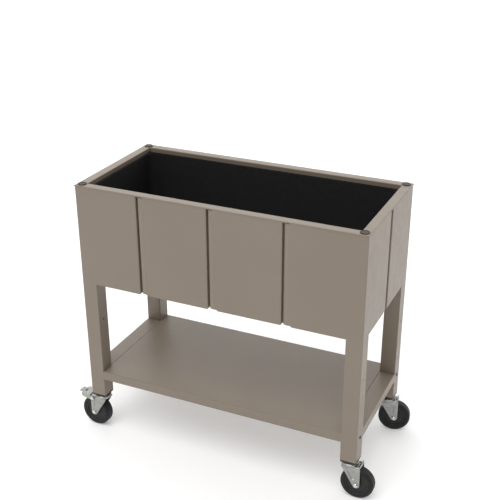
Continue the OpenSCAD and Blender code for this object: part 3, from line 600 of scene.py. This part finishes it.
# The photograph's camera: angles in degrees, its place in metres and the rest in pixels
CAMERA_AZIMUTH = 24.75                         # from the front, round to the right
CAMERA_ELEVATION = 25.43
CAMERA_ROLL = -0.16
CAMERA_PLACE = (1.0718, -2.3085, 1.8052)
FOCAL_PX = 925.56
MIDDLE_PX = (246.69, 262.84)                   # where the optical axis meets the picture
FRAME_PX = 500
SENSOR_WIDTH = 36.0                            # mm
FAR_CLIP = 200.0


def glowing(look, strength):
    look.shader.inputs["Emission Color"].default_value = WHITE
    look.shader.inputs["Emission Strength"].default_value = strength


def floor():
    mesh = bpy.data.meshes.new("floor")
    corners = [(x * FLOOR_HALF, y * FLOOR_HALF, 0.0)
               for x, y in ((-1, -1), (1, -1), (1, 1), (-1, 1))]
    mesh.from_pydata(corners, [], [(0, 1, 2, 3)])
    piece = bpy.data.objects.new("floor", mesh)
    bpy.context.scene.collection.objects.link(piece)
    look = Look("floor")
    look.colour(look.blend(look.noise(scale=0.7), FLOOR_WHITE, FLOOR_SHADE))
    look.roughness(look.span(look.noise(scale=3.0), 0.75, 0.85))
    glowing(look, FLOOR_GLOW)
    mesh.materials.append(look.material)


def backdrop():
    """A white drum round the floor, for views that look level. Only the camera sees it: it takes
    no part in light, shadow or reflections.
    """
    angles = [math.tau * k / BACKDROP_STEPS for k in range(BACKDROP_STEPS)]
    outline = [(BACKDROP_R * math.cos(a), BACKDROP_R * math.sin(a)) for a in angles]
    rings = [level(outline, z) for z in BACKDROP_ENDS]
    piece = lofted("backdrop", rings, Matrix.Identity(4))
    look = Look("backdrop")
    look.colour(look.blend(look.noise(scale=0.2), FLOOR_WHITE, FLOOR_SHADE))
    glowing(look, 1.0)
    piece.data.materials.append(look.material)
    piece.visible_diffuse = False
    piece.visible_glossy = False
    piece.visible_transmission = False
    piece.visible_volume_scatter = False
    piece.visible_shadow = False


def direction(azimuth, elevation):
    """Unit vector to what stands at azimuth, 0 in front of the planter and 90 at its right."""
    a = math.radians(azimuth)
    e = math.radians(elevation)
    return Vector((math.sin(a) * math.cos(e), -math.cos(a) * math.cos(e), math.sin(e)))


def soft_sun(name, azimuth, elevation, strength, width):
    """A light without fall-off, and as wide as a disc of width degrees in the sky."""
    light = bpy.data.lights.new(name, "SUN")
    light.energy = strength
    light.angle = math.radians(width)
    lamp = bpy.data.objects.new(name, light)
    bpy.context.scene.collection.objects.link(lamp)
    lamp.rotation_euler = direction(azimuth, elevation).to_track_quat("Z", "Y").to_euler()


def white_room(average, slope):
    """Light from all round: average, plus slope along X, Y and Z of where it comes from."""
    world = bpy.data.worlds.new("white_room")
    world.use_nodes = True
    nodes = world.node_tree.nodes
    link = world.node_tree.links.new
    dot = nodes.new("ShaderNodeVectorMath")
    dot.operation = "DOT_PRODUCT"
    link(nodes.new("ShaderNodeTexCoord").outputs["Generated"], dot.inputs[0])
    dot.inputs[1].default_value = slope
    total = nodes.new("ShaderNodeMath")
    total.operation = "ADD"
    total.inputs[1].default_value = average
    total.use_clamp = False
    link(dot.outputs["Value"], total.inputs[0])
    background = nodes["Background"]
    background.inputs["Color"].default_value = WHITE
    link(total.outputs["Value"], background.inputs["Strength"])
    bpy.context.scene.world = world


def camera():
    azimuth = math.radians(CAMERA_AZIMUTH)
    roll = math.radians(CAMERA_ROLL)
    back = direction(CAMERA_AZIMUTH, CAMERA_ELEVATION)
    right = Vector((math.cos(azimuth), math.sin(azimuth), 0.0))
    up = back.cross(right)
    tilted_right = right * math.cos(roll) + up * math.sin(roll)
    tilted_up = up * math.cos(roll) - right * math.sin(roll)
    data = bpy.data.cameras.new("camera")
    data.sensor_width = SENSOR_WIDTH
    data.lens = FOCAL_PX / FRAME_PX * data.sensor_width
    data.shift_x = (FRAME_PX / 2 - MIDDLE_PX[0]) / FRAME_PX
    data.shift_y = (MIDDLE_PX[1] - FRAME_PX / 2) / FRAME_PX
    data.clip_end = FAR_CLIP
    eye = bpy.data.objects.new("camera", data)
    bpy.context.scene.collection.objects.link(eye)
    turned_to = Matrix((tilted_right, tilted_up, back)).transposed().to_4x4()
    eye.matrix_world = Matrix.Translation(CAMERA_PLACE) @ turned_to
    bpy.context.scene.camera = eye


floor()
backdrop()
soft_sun("key", KEY_AZIMUTH, KEY_ELEVATION, KEY_STRENGTH, KEY_WIDTH)
white_room(ROOM_LIGHT, ROOM_SLOPE)
camera()
bpy.context.scene.view_settings.view_transform = "Standard"
